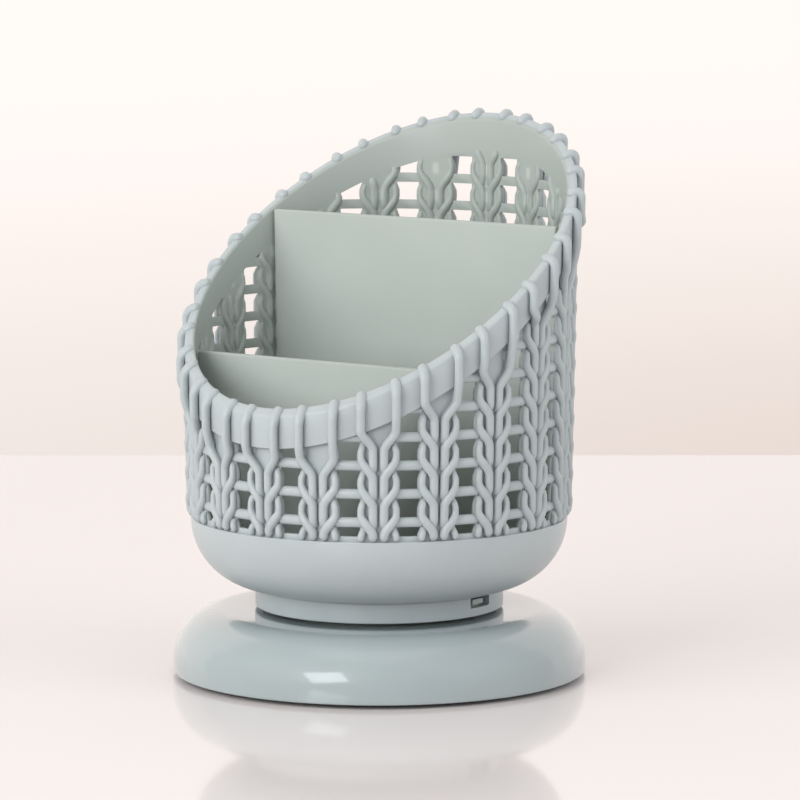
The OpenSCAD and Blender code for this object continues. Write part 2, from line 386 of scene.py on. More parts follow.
def knit_paint(graph, place):
    """Paint of the knit wall: plain outside, a painted shade inside, darker and a little greener.

    The web in the middle of a knit column is thin, and once in every row it gets a painted light, paler,
    as if light showed through it.
    """
    x, y, z = graph.split(place)
    # Mask of the outer faces; the inner ones get a painted shade
    outside = graph.ease(wall_depth(graph, place), INSIDE_UP_TO, OUTSIDE_FROM)
    column = graph.math("ARCTAN2", x, -y) * (COLUMNS / FULL_TURN)
    beside = graph.absolute(column - graph.floor(column + 0.5)) * COLUMN_PITCH
    row = (z - FIRST_STITCH) / ROW_PITCH
    rows = graph.cosine((row - 0.45) * FULL_TURN) * 0.5 + 0.5
    # Where the painted light falls on the web, once in every row
    web = graph.ease(beside, 0.2 * MM, 1.4 * MM, 1.0, 0.0) * graph.ease(rows, 0.4, 0.9)
    clouds = noise(graph, place, CLOUD_SCALE, 3.0)
    skin = noise(graph, place, GRAIN_SCALE, 3.0, 0.6)
    # Inner faces: painted shade, with painted light on the web
    inner = graph.blend(web * 0.4, SAGE_PAINTED_SHADE_INSIDE, PAINTED_WEB_LIGHT)
    outer = graph.blend(graph.ease(clouds, 0.35, 0.65), SAGE, SAGE_SHADE)
    return {
        "Base Color": graph.blend(outside, inner, outer),
        "Roughness": 0.38 + (clouds - 0.5) * 0.10 + (skin - 0.5) * 0.06,
        "Normal": bump(graph, skin, SKIN_DEPTH),
    }


sage_wall = material("sage_wall_plastic", {"IOR": 1.5}, knit_paint)


def worn_metal(tone, shade, roughness, rings):
    """Paint of turned or plated metal: turning lines round the Z axis and faint tarnish."""

    def paint(graph, place):
        x, y, z = graph.split(place)
        lines = noise(graph, graph.join(graph.root(x * x + y * y) * rings, 0.0, z * rings), 1.0, 2.0)
        tarnish = noise(graph, place, TARNISH_SCALE, 4.0)
        return {
            "Base Color": graph.blend(graph.ease(tarnish, 0.4, 0.7), tone, shade),
            "Roughness": roughness + (lines - 0.5) * 0.16 + (tarnish - 0.5) * 0.10,
            "Normal": bump(graph, lines, 0.01 * MM),
        }

    return paint


steel = material(
    "plated_steel",
    {"Metallic": 1.0},
    worn_metal(colour(0.78, 0.79, 0.81), colour(0.66, 0.67, 0.68), 0.28, 9000.0),
)
ball_steel = material(
    "polished_ball_steel",
    {"Metallic": 1.0},
    worn_metal(colour(0.84, 0.85, 0.87), colour(0.76, 0.77, 0.79), 0.10, 1200.0),
)


# ---------------------------------------------------------------- pieces
def keep(obj, body, replaced=()):
    """obj is finished: it moves with body and stands for replaced."""
    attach(obj, body)
    if replaced:
        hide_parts(*replaced)
    return obj


def put(name, mesh, finish):
    obj = bpy.data.objects.new(name, mesh)
    bpy.context.scene.collection.objects.link(obj)
    if not mesh.materials:
        mesh.materials.append(finish)
    return obj


def flatten(obj, sharp=35.0):
    """Turns obj with its modifiers into a plain mesh, smooth but for its sharp edges."""
    bpy.context.view_layer.update()
    evaluated = obj.evaluated_get(bpy.context.evaluated_depsgraph_get())
    mesh = bpy.data.meshes.new_from_object(evaluated)
    obj.modifiers.clear()
    obj.data = mesh
    mesh.shade_smooth()
    mesh.set_sharp_from_angle(angle=math.radians(sharp))
    return obj


def fillet(before, corner, after, radius, steps):
    """Points of the arc that rounds a corner of an outline."""
    to_before = (before - corner).normalized()
    to_after = (after - corner).normalized()
    half = to_before.angle(to_after) / 2
    middle = (to_before + to_after).normalized()
    centre = corner + middle * (radius / math.sin(half))
    start = corner + to_before * (radius / math.tan(half)) - centre
    end = corner + to_after * (radius / math.tan(half)) - centre
    sweep = start.angle(end)
    points = []
    for i in range(steps + 1):
        share = i / steps
        near = math.sin((1 - share) * sweep) / math.sin(sweep)
        far = math.sin(share * sweep) / math.sin(sweep)
        points.append(centre + start * near + end * far)
    return points


def outline(*corners):
    """Closed outline of (radius, height) points. A corner's third value rounds it."""
    places = [Vector(corner[:2]) for corner in corners]
    points = []
    for i, corner in enumerate(corners):
        if len(corner) < 3:
            points.append(places[i])
            continue
        steps = max(4, int(corner[2] / (0.45 * MM)))
        points += fillet(places[i - 1], places[i], places[(i + 1) % len(places)], corner[2], steps)
    return points


def revolve(name, points, finish, steps=160, sharp=35.0):
    """Closed shell: an outline turned round the Z axis."""
    shell = bmesh.new()
    rings = []
    for radius, height in points:
        if radius < 0.001 * MM:
            rings.append([shell.verts.new((0, 0, height))] * steps)
            continue
        ring = []
        for i in range(steps):
            turn = FULL_TURN * i / steps
            ring.append(shell.verts.new((radius * math.sin(turn), -radius * math.cos(turn), height)))
        rings.append(ring)
    for here, there in zip(rings, rings[1:] + rings[:1]):
        for i in range(steps):
            j = (i + 1) % steps
            corners = list(dict.fromkeys([here[i], here[j], there[j], there[i]]))
            if len(corners) > 2:
                shell.faces.new(corners)
    bmesh.ops.remove_doubles(shell, verts=shell.verts, dist=0.0005 * MM)
    bmesh.ops.recalc_face_normals(shell, faces=shell.faces)
    mesh = bpy.data.meshes.new(name)
    shell.to_mesh(mesh)
    shell.free()
    mesh.shade_smooth()
    mesh.set_sharp_from_angle(angle=math.radians(sharp))
    return put(name, mesh, finish)


# Domed base: shell, bearing well and pivot post in one moulding
dome = revolve(
    "domed_base",
    outline(
        (0, POST_BORE_END),
        (POST_BORE, POST_BORE_END),
        (POST_BORE, POST_TOP),
        (POST_RADIUS, POST_TOP, 0.4 * MM),
        (POST_RADIUS, WELL_FLOOR),
        (WELL_RADIUS, WELL_FLOOR),
        (WELL_RADIUS, BASE_TOP, 0.4 * MM),
        (BASE_RADIUS, BASE_TOP, SHOULDER_RADIUS),
        (BASE_RADIUS, BASE_BOTTOM, EDGE_RADIUS),
        (COVER_SEAT, BASE_BOTTOM, 0.4 * MM),
        (COVER_SEAT, BASE_TOP - BASE_WALL, SHOULDER_RADIUS - BASE_WALL),
        (WELL_RADIUS + WELL_WALL, BASE_TOP - BASE_WALL),
        (WELL_RADIUS + WELL_WALL, WELL_UNDER),
        (0, WELL_UNDER),
    ),
    sage_gloss,
    steps=192,
)
keep(dome, "base", ["base_dome"])

# Bowl with its neck
bowl = revolve(
    "smooth_bowl",
    outline(
        (0, BOWL_FLOOR),
        (WALL_INSIDE, BOWL_FLOOR, BOWL_CURVE),
        (WALL_INSIDE, KNIT_BOTTOM, 0.25 * MM),
        (BOWL_RADIUS, KNIT_BOTTOM, 0.25 * MM),
        (BOWL_RADIUS, BOWL_FLOOR_UNDER, BOWL_CURVE + BOWL_WALL),
        (NECK_RADIUS, BOWL_FLOOR_UNDER, 0.4 * MM),
        (NECK_RADIUS, NECK_BOTTOM, 0.4 * MM),
        (NECK_RADIUS - NECK_WALL, NECK_BOTTOM, 0.4 * MM),
        (NECK_RADIUS - NECK_WALL, BOWL_FLOOR_UNDER),
        (0, BOWL_FLOOR_UNDER),
    ),
    sage_bowl,
    steps=192,
)


def block(name, centre, size, finish, edge=0.0):
    """Box with rounded edges."""
    shell = bmesh.new()
    bmesh.ops.create_cube(shell, size=1.0)
    stretch = Matrix.Translation(centre) @ Matrix.Diagonal((*size, 1))
    bmesh.ops.transform(shell, matrix=stretch, verts=shell.verts)
    mesh = bpy.data.meshes.new(name)
    shell.to_mesh(mesh)
    shell.free()
    obj = put(name, mesh, finish)
    if edge:
        round_off(obj, edge)
        flatten(obj)
    return obj


def round_off(obj, width, segments=3, angle=40.0):
    rounding = obj.modifiers.new("rounding", "BEVEL")
    rounding.width = width
    rounding.segments = segments
    rounding.limit_method = "ANGLE"
    rounding.angle_limit = math.radians(angle)
    rounding.use_clamp_overlap = True
    return obj


window_centre = NECK_WINDOW_BOTTOM + NECK_WINDOW.y / 2
cutter = block(
    "window_cutter",
    Vector((0, 0, window_centre)),
    (2 * NECK_RADIUS + 4 * MM, NECK_WINDOW.x, NECK_WINDOW.y),
    sage,
    edge=0.4 * MM,
)
opening = bowl.modifiers.new("windows", "BOOLEAN")
opening.operation = "DIFFERENCE"
opening.object = cutter
opening.solver = "EXACT"
flatten(bowl)
bpy.data.objects.remove(cutter)
keep(bowl, "basket", ["basket_bowl"])


# Floor rails that hold the dividers' feet
def rail(name, y, length):
    foot = block(
        name,
        Vector((0, y, BOWL_FLOOR + 1.5 * MM)),
        (length, 1.2 * MM, 3.2 * MM),
        sage_satin_painted_shade,
        edge=0.35 * MM,
    )
    return keep(foot, "basket")


front_y = (front_low.y + front_high.y) / 2
rear_y = (rear_low.y + rear_high.y) / 2
RAIL_AWAY = (front_high.y - front_low.y) / 2 + 0.7 * MM
for side, word in ((-1, "near"), (1, "far")):
    rail(f"front_rail_{word}", front_y + side * RAIL_AWAY, 28 * MM)
    rail(f"rear_rail_{word}", rear_y + side * RAIL_AWAY, 46 * MM)


# Dividers
def inside_radius(height):
    """Radius of the basket's inside at a height, less the gap around a divider."""
    if height > KNIT_BOTTOM:
        return WALL_INSIDE - DIVIDER_GAP + (height - KNIT_BOTTOM) * LEAN
    arc = KNIT_BOTTOM - BOWL_FLOOR
    drop = KNIT_BOTTOM - height
    return WALL_INSIDE - arc + math.sqrt(max(arc * arc - drop * drop, 0.0)) - DIVIDER_GAP


def divider(name, low, high, replaced):
    """Upright plate that fits the basket's inside, with rounded edges."""
    far_face = max(abs(low.y), abs(high.y))
    side = []
    steps = 28
    curved = KNIT_BOTTOM - low.z
    heights = [low.z + curved * (1 - math.cos(math.pi / 2 * i / steps)) for i in range(steps + 1)]
    for height in heights + [high.z]:
        radius = inside_radius(height)
        side.append((math.sqrt(radius * radius - far_face * far_face), height))
    contour = side + [(-x, z) for x, z in reversed(side)]
    plate = bmesh.new()
    face = plate.faces.new([plate.verts.new((x, low.y, z)) for x, z in contour])
    grown = bmesh.ops.extrude_face_region(plate, geom=[face])
    for item in grown["geom"]:
        if isinstance(item, bmesh.types.BMVert):
            item.co.y = high.y
    bmesh.ops.recalc_face_normals(plate, faces=plate.faces)
    mesh = bpy.data.meshes.new(name)
    plate.to_mesh(mesh)
    plate.free()
    obj = put(name, mesh, sage_satin_painted_shade)
    round_off(obj, 0.55 * MM)
    flatten(obj)
    return keep(obj, "basket", [replaced])


divider("front_divider_plate", front_low, front_high, "front_divider")
divider("rear_divider_plate", rear_low, rear_high, "rear_divider")


# Smooth band under the slanted rim
def rim_lift(turn, radius):
    return RIM_HEIGHT - BAND_HEIGHT - RIM_SLOPE * radius * math.cos(turn)


def rim_band(name):
    shell = bmesh.new()
    points = outline(
        (WALL_INSIDE, 0),
        (BAND_OUTSIDE, 0, 0.5 * MM),
        (BAND_OUTSIDE, BAND_HEIGHT, BAND_EDGE),
        (WALL_INSIDE, BAND_HEIGHT, BAND_EDGE),
    )
    steps = 240
    rings = []
    for i in range(steps):
        turn = FULL_TURN * i / steps
        ring = []
        for radius, height in points:
            plain = height + rim_lift(turn, radius)
            leaning = radius + (plain - KNIT_BOTTOM) * LEAN
            level = height + rim_lift(turn, leaning)
            ring.append(shell.verts.new((leaning * math.sin(turn), -leaning * math.cos(turn), level)))
        rings.append(ring)
    for here, there in zip(rings, rings[1:] + rings[:1]):
        for i in range(len(points)):
            j = (i + 1) % len(points)
            shell.faces.new((here[i], here[j], there[j], there[i]))
    bmesh.ops.recalc_face_normals(shell, faces=shell.faces)
    mesh = bpy.data.meshes.new(name)
    shell.to_mesh(mesh)
    shell.free()
    mesh.shade_smooth()
    mesh.set_sharp_from_angle(angle=math.radians(50))
    return put(name, mesh, sage_band)


keep(rim_band("slanted_rim_band"), "basket", ["rim_band"])


# ---------------------------------------------------------------- grown pieces
def grow(name, build, sizes, finish):
    """Object whose mesh a Geometry Nodes tree makes from named sizes."""
    tree = bpy.data.node_groups.new(name, "GeometryNodeTree")
    tree.interface.new_socket("Geometry", in_out="OUTPUT", socket_type="NodeSocketGeometry")
    sockets = {}
    for label, value in sizes.items():
        kind = "NodeSocketInt" if isinstance(value, int) else "NodeSocketFloat"
        sockets[label] = tree.interface.new_socket(label, in_out="INPUT", socket_type=kind)
    graph = Graph(tree)
    entry = tree.nodes.new("NodeGroupInput")
    wires = {label: Wire(graph, entry.outputs[label]) for label in sizes}
    grown = build(graph, wires)
    grown = graph.add("GeometryNodeRealizeInstances", {}, {"Geometry": grown})
    grown = graph.add("GeometryNodeSetMaterial", {}, {"Geometry": grown, "Material": finish})
    graph.feed(tree.nodes.new("NodeGroupOutput").inputs["Geometry"], grown)
    obj = put(name, bpy.data.meshes.new(name), finish)
    growth = obj.modifiers.new(name, "NODES")
    growth.node_group = tree
    for label, value in sizes.items():
        growth[sockets[label].identifier] = value
    return obj


def place_round(graph, turn, radius, height):
    """Point at a turn from the front, a radius and a height."""
    return graph.join(graph.sine(turn) * radius, -(graph.cosine(turn) * radius), height)


def leaning(graph, size, offset, height):
    """Radius of a point that lies offset outside the wall's face."""
    return size["Face radius"] + offset + (height - size["Knit bottom"]) * size["Lean"]


def band_bottom(graph, size, turn):
    """Height of the band's lower edge at a turn."""
    swing = graph.cosine(turn) * size["Band radius"] * size["Rim slope"]
    return size["Rim height"] - size["Band height"] - swing


def last_stitch(graph, size, turn):
    """Row in which the wraps of a knit column turn into its chains."""
    room = band_bottom(graph, size, turn) - size["Stitch clearance"] - size["First stitch"]
    return graph.floor(room / size["Row pitch"])


def cord_mesh(graph, lines, place, thickness, size, sides):
    """Round cord with rounded ends along each line, moved to place."""
    curves = graph.add(
        "GeometryNodeStoreNamedAttribute",
        {"data_type": "FLOAT", "domain": "POINT"},
        {"Geometry": lines, "Name": "thickness", "Value": thickness},
    )
    curves = graph.add("GeometryNodeSetPosition", {}, {"Geometry": curves, "Position": place})
    kept = graph.add("GeometryNodeInputNamedAttribute", {"data_type": "FLOAT"}, {"Name": "thickness"})
    along = graph.add("GeometryNodeSplineParameter", out="Length")
    whole = graph.add("GeometryNodeSplineLength", out="Length")
    to_end = graph.least(along, whole - along) / size["Cord radius"]
    missing = 1.0 - graph.least(to_end * 0.9 + 0.1, 1.0)
    swell = graph.root(1.0 - missing * missing) * kept
    section = graph.add(
        "GeometryNodeCurvePrimitiveCircle",
        {"mode": "RADIUS"},
        {"Resolution": sides, "Radius": size["Cord radius"]},
    )
    return graph.add(
        "GeometryNodeCurveToMesh",
        {},
        {"Curve": curves, "Profile Curve": section, "Scale": swell, "Fill Caps": True},
    )


def template_line(graph, points):
    """Upright line of unit height with a number of points."""
    line = graph.add("GeometryNodeCurvePrimitiveLine", {"mode": "POINTS"}, {"End": (0, 0, 1)})
    return graph.add("GeometryNodeResampleCurve", {"mode": "COUNT"}, {"Curve": line, "Count": points})


def both_sides(graph, make):
    """The left and the right chain of every knit column."""
    left = make(-1.0)
    right = make(1.0)
    joined = graph.tree.nodes.new("GeometryNodeJoinGeometry")
    graph.tree.links.new(left.socket, joined.inputs[0])
    graph.tree.links.new(right.socket, joined.inputs[0])
    return Wire(graph, joined.outputs[0])


def stitch_sway(graph, size, height, middle, outer):
    """Sideways place of a strand: outer above the stitch's middle, inner below it."""
    half = size["Cross height"] / 2
    return graph.ease(height, middle - half, middle + half, size["Inner lane"], outer)


def stitch_crest(graph, height, middle, rise, reach):
    """Extra height of a strand where it crosses over the next one."""
    above = graph.ease(height, middle, middle + reach, rise, 0.0)
    below = graph.ease(height, middle - reach, middle, 0.0, 1.0)
    return above * below


KNIT = {
    "Columns": COLUMNS,
    "Row pitch": ROW_PITCH,
    "First stitch": FIRST_STITCH,
    "Stitch clearance": 1.5 * MM,
    "Knit bottom": KNIT_BOTTOM,
    "Lean": LEAN,
    "Face radius": FACE_RADIUS,
    "Rim height": RIM_HEIGHT,
    "Rim slope": RIM_SLOPE,
    "Band height": BAND_HEIGHT,
    "Band radius": BAND_OUTSIDE + 0.4 * MM,
    "Inner lane": 1.30 * MM,
    "Outer lane": 4.22 * MM,
    "Cross height": 5.2 * MM,
    "Reach up": 6.6 * MM,
    "Reach down": 8.4 * MM,
}


def knit_strands(graph, size):
    """Every stitch of both chains as a strand of its own, bent round the leaning wall."""
    rows = ROWS + 1
    spots = graph.add(
        "GeometryNodeMeshLine", {}, {"Count": size["Columns"] * rows, "Offset": (0, 0, 0)}
    )
    index = graph.add("GeometryNodeInputIndex")
    column = graph.floor(index / rows)
    row = index % rows - 1.0
    spots = graph.add(
        "GeometryNodeSetPosition", {}, {"Geometry": spots, "Position": graph.join(column, row, 0.0)}
    )
    x, y, z = graph.split(graph.add("GeometryNodeInputPosition"))
    too_high = y > last_stitch(graph, size, x * (FULL_TURN / COLUMNS)) - 0.5 + size["Extra rows"]
    spots = graph.add(
        "GeometryNodeDeleteGeometry", {"domain": "POINT"}, {"Geometry": spots, "Selection": too_high}
    )
    lines = graph.add(
        "GeometryNodeInstanceOnPoints", {}, {"Points": spots, "Instance": template_line(graph, 13)}
    )
    lines = graph.add("GeometryNodeRealizeInstances", {}, {"Geometry": lines})

    def chain(side):
        column, row, share = graph.split(graph.add("GeometryNodeInputPosition"))
        middle = size["First stitch"] + size["Row pitch"] * row
        own_turn = column * (FULL_TURN / COLUMNS) + size["Outer lane"] * side / size["Face radius"]
        highest = band_bottom(graph, size, own_turn) + STRAND_UNDER_BAND
        top = graph.least(middle + size["Reach up"], highest)
        tucked = middle - size["Reach down"]
        end = graph.most(tucked, size["Knit bottom"] + STRAND_FOOT)
        height = top + (end - top) * share
        sway = stitch_sway(graph, size, height, middle, size["Outer lane"])
        sway = sway - graph.ease(height, top - 2.8 * MM, top, 0.0, 0.8 * MM)
        relief = graph.ease(height, top - 2.2 * MM, top, 0.5 * MM, -0.6 * MM)
        relief = relief + stitch_crest(graph, height, middle, CREST_RISE, CREST_REACH)
        relief = relief - graph.ease(height, tucked, tucked + TUCK_RUN, TUCK_DEPTH, 0.0)
        offset = size["Strand offset"] + size["Relief"] * relief
        turn = column * (FULL_TURN / COLUMNS) + sway * side / size["Face radius"]
        place = place_round(graph, turn, leaning(graph, size, offset, height), height)
        thick = graph.ease(height, middle, middle + 3.4 * MM, 1.2, 0.9)
        return cord_mesh(graph, lines, place, thick, size, 7)

    return both_sides(graph, chain)


def rim_wraps(graph, size):
    """Strands that come over the rim, run down the band and end in the first stitch."""
    spots = graph.add("GeometryNodeMeshLine", {}, {"Count": size["Columns"], "Offset": (1, 0, 0)})
    lines = graph.add(
        "GeometryNodeInstanceOnPoints", {}, {"Points": spots, "Instance": template_line(graph, 44)}
    )
    lines = graph.add("GeometryNodeRealizeInstances", {}, {"Geometry": lines})

    def wrap(side):
        column, unused, share = graph.split(graph.add("GeometryNodeInputPosition"))
        centre_turn = column * (FULL_TURN / COLUMNS)
        row = last_stitch(graph, size, centre_turn)
        middle = size["First stitch"] + size["Row pitch"] * row
        tucked = middle - size["Reach down"]
        end = graph.most(tucked, size["Knit bottom"] + STRAND_FOOT)
        own_turn = centre_turn + side * size["Wrap lane"] / size["Face radius"]
        swing = graph.cosine(own_turn) * size["Rim slope"]
        rim_top = size["Rim height"] - swing * size["Band radius"]
        lean_out = (rim_top - size["Knit bottom"]) * size["Lean"]
        bend = size["Wrap bend"]
        outer = size["Wrap offset"]
        quarter = bend * (math.pi / 2)
        centre_height = -size["Wrap sink"] - bend
        outer_radius = size["Face radius"] + outer + lean_out
        straight_top = size["Rim height"] - swing * outer_radius + centre_height
        run_down = straight_top - end
        path = (size["Wrap reach"] + quarter + run_down) * share - size["Wrap reach"]
        angle = graph.most(graph.least(path, quarter), 0.0) / bend
        flat_offset = outer - bend + bend * graph.sine(angle) + graph.least(path, 0.0)
        rise = centre_height + bend * graph.cosine(angle) - graph.most(path - quarter, 0.0)
        plane_radius = size["Face radius"] + flat_offset + lean_out
        height = size["Rim height"] - swing * plane_radius + rise
        band_low = band_bottom(graph, size, own_turn)
        fall = graph.ease(height, middle - 1.5 * MM, band_low + 1.5 * MM, outer - 0.6 * MM, 0.0)
        offset = flat_offset - fall
        offset = offset + stitch_crest(graph, height, middle, CREST_RISE, CREST_REACH)
        offset = offset - graph.ease(height, tucked, tucked + TUCK_RUN, TUCK_DEPTH, 0.0)
        sway = stitch_sway(graph, size, height, middle, size["Wrap lane"])
        turn = centre_turn + sway * side / size["Face radius"]
        place = place_round(graph, turn, leaning(graph, size, offset, height), height)
        thick = graph.ease(path, 0.0, quarter * 1.2, 1.24, 1.0)
        return cord_mesh(graph, lines, place, thick, size, 10)

    return both_sides(graph, wrap)


def window_sheet(graph, size):
    """Thin leaning wall with its windows open, from the bowl up into the band."""
    across = 6
    upward = 2 * ROWS + 3
    sheet = graph.add(
        "GeometryNodeMeshGrid",
        {},
        {
            "Size X": size["Columns"] * across,
            "Size Y": float(upward),
            "Vertices X": size["Columns"] * across + 1,
            "Vertices Y": upward + 1,
        },
    )
    x, y, z = graph.split(graph.add("GeometryNodeInputPosition"))
    sheet = graph.add(
        "GeometryNodeSetPosition",
        {},
        {
            "Geometry": sheet,
            "Position": graph.join(x + size["Columns"] * (across / 2), y + upward / 2, 0.0),
        },
    )

    def level(step):
        pair = graph.floor((step - 2.0) / 2.0)
        regular = size["First bar"] + size["Row pitch"] * pair + (step % 2.0) * size["Bar height"]
        foot = size["Knit bottom"] - SHEET_BELOW + step * (FOOT_BAR_TOP - KNIT_BOTTOM + SHEET_BELOW)
        return graph.most(regular, foot)

    def turn_at(step):
        within = step % float(across)
        strip = COLUMN_PITCH - size["Lane width"]
        sideways = graph.least(within, 4.0) * strip / 4.0 - strip / 2.0
        sideways = sideways + graph.most(within - 4.0, 0.0) * size["Lane width"] / 2.0
        whole = graph.floor(step / float(across))
        return whole * (FULL_TURN / COLUMNS) + sideways / size["Face radius"]

    column, row, unused = graph.split(graph.add("GeometryNodeInputPosition"))
    in_lane = (graph.floor(column) % float(across)) > 3.5
    in_window = (graph.floor(row) % 2.0) > 0.5
    left_turn = turn_at(graph.floor(column))
    right_turn = turn_at(graph.floor(column) + 1.0)
    edge = band_bottom(graph, size, (left_turn + right_turn) / 2.0)
    hidden = level(graph.floor(row)) > edge + HIDDEN_ABOVE
    gone = graph.most(in_lane * in_window, hidden)
    sheet = graph.add(
        "GeometryNodeDeleteGeometry", {"domain": "FACE"}, {"Geometry": sheet, "Selection": gone}
    )
    step, storey, unused = graph.split(graph.add("GeometryNodeInputPosition"))
    turn = turn_at(step)
    height = graph.least(level(storey), band_bottom(graph, size, turn) + SHEET_UNDER_BAND)
    place = place_round(graph, turn, leaning(graph, size, size["Sheet offset"], height), height)
    sheet = graph.add("GeometryNodeSetPosition", {}, {"Geometry": sheet, "Position": place})
    return graph.add("GeometryNodeMergeByDistance", {}, {"Geometry": sheet, "Distance": 0.01 * MM})


def window_bars(graph, size):
    """Rounded bars between the windows of each lane."""
    spots = graph.add(
        "GeometryNodeMeshLine", {}, {"Count": size["Columns"] * ROWS, "Offset": (0, 0, 0)}
    )
    index = graph.add("GeometryNodeInputIndex")
    lane = graph.floor(index / float(ROWS)) + 0.5
    row = index % float(ROWS)
    spots = graph.add(
        "GeometryNodeSetPosition", {}, {"Geometry": spots, "Position": graph.join(lane, row, 0.0)}
    )
    x, y, z = graph.split(graph.add("GeometryNodeInputPosition"))
    middle = size["First bar"] + size["Row pitch"] * y
    too_high = middle > band_bottom(graph, size, x * (FULL_TURN / COLUMNS)) + HIDDEN_ABOVE
    spots = graph.add(
        "GeometryNodeDeleteGeometry", {"domain": "POINT"}, {"Geometry": spots, "Selection": too_high}
    )
    lines = graph.add(
        "GeometryNodeInstanceOnPoints", {}, {"Points": spots, "Instance": template_line(graph, 4)}
    )
    lines = graph.add("GeometryNodeRealizeInstances", {}, {"Geometry": lines})
    lane, row, share = graph.split(graph.add("GeometryNodeInputPosition"))
    height = size["First bar"] + size["Row pitch"] * row + size["Bar height"] / 2.0
    sway = (share - 0.5) * size["Bar length"]
    turn = lane * (FULL_TURN / COLUMNS) + sway / size["Face radius"]
    place = place_round(graph, turn, leaning(graph, size, size["Bar offset"], height), height)
    bent = graph.add("GeometryNodeSetPosition", {}, {"Geometry": lines, "Position": place})
    bent = graph.add("GeometryNodeSetCurveNormal", {"mode": "Z_UP"}, {"Curve": bent})
    ring = graph.add(
        "GeometryNodeCurvePrimitiveCircle", {"mode": "RADIUS"}, {"Resolution": 12, "Radius": 1.0}
    )
    section = graph.add(
        "GeometryNodeTransform",
        {},
        {"Geometry": ring, "Scale": graph.join(size["Bar depth"], size["Bar height"] / 2.0, 1.0)},
    )
    return graph.add(
        "GeometryNodeCurveToMesh",
        {},
        {"Curve": bent, "Profile Curve": section, "Fill Caps": True},
    )


sheet = grow(
    "windowed_wall",
    window_sheet,
    {
        **KNIT,
        "First bar": FIRST_BAR,
        "Bar height": BAR_HEIGHT,
        "Lane width": LANE_WIDTH,
        "Sheet offset": SHEET_INSIDE + SHEET_THICKNESS - FACE_RADIUS,
    },
    sage_wall,
)
thickening = sheet.modifiers.new("thickness", "SOLIDIFY")
thickening.thickness = SHEET_THICKNESS
thickening.offset = -1.0
round_off(sheet, 0.3 * MM, segments=2, angle=50.0)
flatten(sheet)
keep(sheet, "basket", ["basket_wall"])

bars = grow(
    "window_bars",
    window_bars,
    {
        **KNIT,
        "First bar": FIRST_BAR,
        "Bar height": BAR_HEIGHT,
        "Bar length": LANE_WIDTH + 0.6 * MM,
        "Bar depth": 0.75 * MM,
        "Bar offset": BAR_OUTSIDE - 0.75 * MM - FACE_RADIUS,
    },
    sage,
)
flatten(bars)
keep(bars, "basket")

strands = grow(
    "knit_strands",
    knit_strands,
    {**KNIT, "Cord radius": 1.0 * MM, "Strand offset": 0.0, "Relief": 1.0, "Extra rows": 0},
    sage,
)
flatten(strands, 60.0)
keep(strands, "basket")

backs = grow(
    "stitch_backs",
    knit_strands,
    {
        **KNIT,
        "Cord radius": 1.05 * MM,
        "Strand offset": SHEET_INSIDE + 0.72 * MM - FACE_RADIUS,
        "Relief": -0.4,
        "Extra rows": 1,
    },
    sage_wall,
)
flatten(backs, 60.0)
keep(backs, "basket")

wraps = grow(
    "rim_wraps",
    rim_wraps,
    {
        **KNIT,
        "Cord radius": 1.1 * MM,
        "Wrap lane": 4.05 * MM,
        "Wrap offset": 2.4 * MM,
        "Wrap bend": 2.0 * MM,
        "Wrap sink": 0.2 * MM,
        "Wrap reach": 1.5 * MM,
    },
    sage,
)
flatten(wraps, 60.0)
keep(wraps, "basket")

# Rubber feet
for number in range(1, 5):
    foot_low, foot_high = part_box(f"foot_{number}")
    radius = (foot_high.x - foot_low.x) / 2
    foot = revolve(
        f"rubber_foot_{number}",
        outline(
            (0, foot_low.z),
            (radius, foot_low.z, 0.6 * MM),
            (radius, foot_high.z, 0.2 * MM),
            (0, foot_high.z),
        ),
        rubber,
        steps=48,
    )
    middle = (foot_low + foot_high) / 2
    foot.data.transform(Matrix.Translation((middle.x, middle.y, 0)))
    keep(foot, "base", [f"foot_{number}"])

# Finish of the CAD pieces that show as they are
FINISHES = {
    "base_cover": cover_plastic,
    "swivel_plate": inner_plastic,
    "ball_cage": cage_plastic,
    "cover_screws": steel,
    "lower_race": steel,
    "upper_race": steel,
    "pivot_washer": steel,
    "pivot_screw": steel,
}
for node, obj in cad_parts.items():
    finish = ball_steel if node.startswith("ball_") and node != "ball_cage" else FINISHES.get(node)
    if finish:
        obj.data.materials.clear()
        obj.data.materials.append(finish)

# ---------------------------------------------------------------- floor, light and camera
VIEW_TURN = math.radians(36.2)
VIEW_PITCH = 0.12531
VIEW_YAW = 0.00436
VIEW_AWAY = 1.2
VIEW_HEIGHT = 0.2202
LENS = 217.1
SENSOR_WIDTH = 36.0
LIGHT_AIM = 0.06
TABLE_BEHIND = 0.40
TABLE_DROP = 0.03 * MM

right = Vector((math.cos(VIEW_TURN), math.sin(VIEW_TURN), 0))
away = Vector((-math.sin(VIEW_TURN), math.cos(VIEW_TURN), 0))
up = Vector((0, 0, 1))


def flat_sheet(name, corners, finish):
    mesh = bpy.data.meshes.new(name)
    mesh.from_pydata([tuple(corner) for corner in corners], [], [(0, 1, 2, 3)])
    obj = put(name, mesh, finish)
    return obj


def table_paint(graph, place):
    """Pale glossy top with a faint unevenness."""
    drift = noise(graph, place, 3.0, 2.0)
    return {
        "Base Color": graph.blend(drift, colour(0.886, 0.866, 0.863), colour(0.876, 0.856, 0.853)),
        "Roughness": 0.06 + (drift - 0.5) * 0.02,
    }


